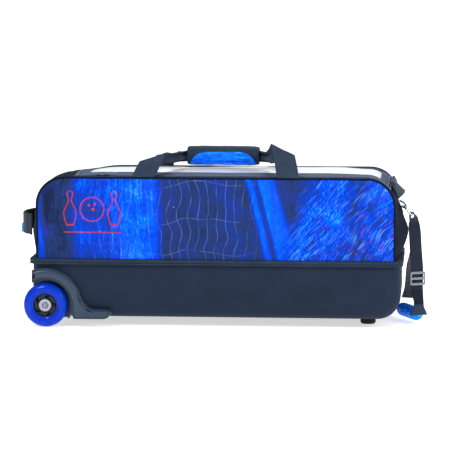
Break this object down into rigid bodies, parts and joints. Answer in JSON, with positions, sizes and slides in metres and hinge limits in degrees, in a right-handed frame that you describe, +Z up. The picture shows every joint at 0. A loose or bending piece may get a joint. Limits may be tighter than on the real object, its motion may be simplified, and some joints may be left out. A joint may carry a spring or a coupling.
{
  "type": "rolling bowling bag",
  "caption": "Long soft bag on two inline wheels, with a moulded tub, printed side panels, clear zipped lid, carry handle, end loops and a pull strap.",
  "frame": {"origin": "on the floor under the middle of the whole bag's bounding box", "axes": "+X along the bag from the wheels to the pull strap, +Y from the front to the back, +Z up"},
  "size_m": [0.74, 0.2772, 0.3246],
  "materials": {
    "tub_cover": "black woven polyester over a moulded tub",
    "board": "grey polypropylene stiffener board",
    "foam": "black closed-cell foam",
    "binding": "dark grey woven binding tape",
    "rubber_foot": "moulded rubber",
    "printed_fabric": "electric blue printed polyester",
    "piping": "black piping",
    "black_fabric": "black padded polyester",
    "clear_vinyl": "clear flexible vinyl sheet",
    "zip_tape": "black coil zip on woven tape",
    "zip_metal": "black lacquered die cast metal",
    "webbing": "dark grey woven webbing",
    "grip_cover": "black padded fabric",
    "grip_print": "blue printed padded fabric",
    "ring_metal": "bright plated steel wire",
    "wheel_tyre": "translucent blue polyurethane, glossy",
    "wheel_hub": "black moulded nylon",
    "bearing_steel": "bearing steel",
    "bolt_steel": "dark plated steel",
    "moulded_plastic": "dark grey moulded plastic, fine texture"
  },
  "bodies": {
    "bag": {"base_tub": "tub_cover", "bottom_board": "board", "foam_cradle": "foam", "waist_binding": "binding", "foot_front": "rubber_foot", "foot_back": "rubber_foot", "front_panel": "printed_fabric", "back_panel": "printed_fabric", "front_piping": "piping", "back_piping": "piping", "end_panel_left": "black_fabric", "end_panel_right": "black_fabric", "top_gusset_front": "black_fabric", "top_gusset_back": "black_fabric", "zip_chain_body": "zip_tape", "end_handle_left": "webbing", "end_handle_right": "webbing", "ring_tab": "webbing", "wheel_housing_front": "moulded_plastic", "wheel_housing_back": "moulded_plastic", "axle_bolt_front": "bolt_steel", "axle_bolt_back": "bolt_steel", "axle_spacer_front": "bearing_steel", "axle_spacer_back": "bearing_steel", "axle_nut_front": "bolt_steel", "axle_nut_back": "bolt_steel", "bearing_spacer_front": "bearing_steel", "bearing_spacer_back": "bearing_steel"},
    "lid": {"lid_border": "black_fabric", "clear_window": "clear_vinyl", "zip_chain_lid": "zip_tape"},
    "handle_front": {"handle_strap_front": "webbing", "grip_pad": "grip_cover", "grip_inlay": "grip_print", "grip_flap": "grip_cover"},
    "handle_back": {"handle_strap_back": "webbing"},
    "slider_left": {"zip_slider_left": "zip_metal"},
    "pull_left": {"zip_pull_left": "zip_metal"},
    "slider_right": {"zip_slider_right": "zip_metal"},
    "pull_right": {"zip_pull_right": "zip_metal"},
    "wheel_front": {"tyre_front": "wheel_tyre", "hub_front": "wheel_hub", "bearing_outer_front": "bearing_steel", "bearing_inner_front": "bearing_steel"},
    "wheel_back": {"tyre_back": "wheel_tyre", "hub_back": "wheel_hub", "bearing_outer_back": "bearing_steel", "bearing_inner_back": "bearing_steel"},
    "ring": {"d_ring": "ring_metal"},
    "strap": {"pull_strap": "webbing", "pull_grip": "grip_print", "pull_grip_sleeve": "webbing"},
    "adjuster": {"strap_adjuster": "ring_metal"}
  },
  "joints": [
    {"name": "lid_open", "type": "hinge", "parent": "bag", "child": "lid", "pos_m": [0.019, 0.1086, 0.2733], "axis": [-1, 0, 0], "range_deg": [0, 92]},
    {"name": "handle_front_swing", "type": "hinge", "parent": "bag", "child": "handle_front", "pos_m": [-0.011, -0.129, 0.2745], "axis": [1, 0, 0], "range_deg": [0, 202.4], "deforming": ["grip_flap"]},
    {"name": "handle_back_swing", "type": "hinge", "parent": "bag", "child": "handle_back", "pos_m": [-0.011, 0.129, 0.2745], "axis": [-1, 0, 0], "range_deg": [0, 202.4]},
    {"name": "slider_left_slide", "type": "slide", "parent": "bag", "child": "slider_left", "axis": [-1, 0, 0], "range_m": [0, 0.034]},
    {"name": "pull_left_lift", "type": "hinge", "parent": "slider_left", "child": "pull_left", "pos_m": [-0.219, -0.1116, 0.2782], "axis": [0, 1, 0], "range_deg": [0, 120]},
    {"name": "slider_right_slide", "type": "slide", "parent": "bag", "child": "slider_right", "axis": [1, 0, 0], "range_m": [0, 0.44]},
    {"name": "pull_right_lift", "type": "hinge", "parent": "slider_right", "child": "pull_right", "pos_m": [-0.211, -0.1116, 0.2782], "axis": [0, -1, 0], "range_deg": [0, 120]},
    {"name": "wheel_front_spin", "type": "hinge", "parent": "bag", "child": "wheel_front", "pos_m": [-0.3175, -0.125, 0.04], "axis": [0, 1, 0], "continuous": true},
    {"name": "wheel_back_spin", "type": "hinge", "parent": "bag", "child": "wheel_back", "pos_m": [-0.3175, 0.125, 0.04], "axis": [0, 1, 0], "continuous": true},
    {"name": "ring_swing", "type": "hinge", "parent": "bag", "child": "ring", "pos_m": [0.32657, 0, 0.21139], "axis": [0, -1, 0], "range_deg": [0, 60]},
    {"name": "strap_swing", "type": "hinge", "parent": "ring", "child": "strap", "pos_m": [0.34043, 0, 0.19561], "axis": [0, -1, 0], "range_deg": [0, 100]},
    {"name": "adjuster_slide", "type": "slide", "parent": "strap", "child": "adjuster", "axis": [0, 0, 1], "range_m": [-0.003, 0.03]}
  ],
  "couplings": [
    {"joint": "handle_front_swing", "follows": "lid_open", "ratio": 2.2},
    {"joint": "handle_back_swing", "follows": "lid_open", "ratio": 2.2}
  ]
}
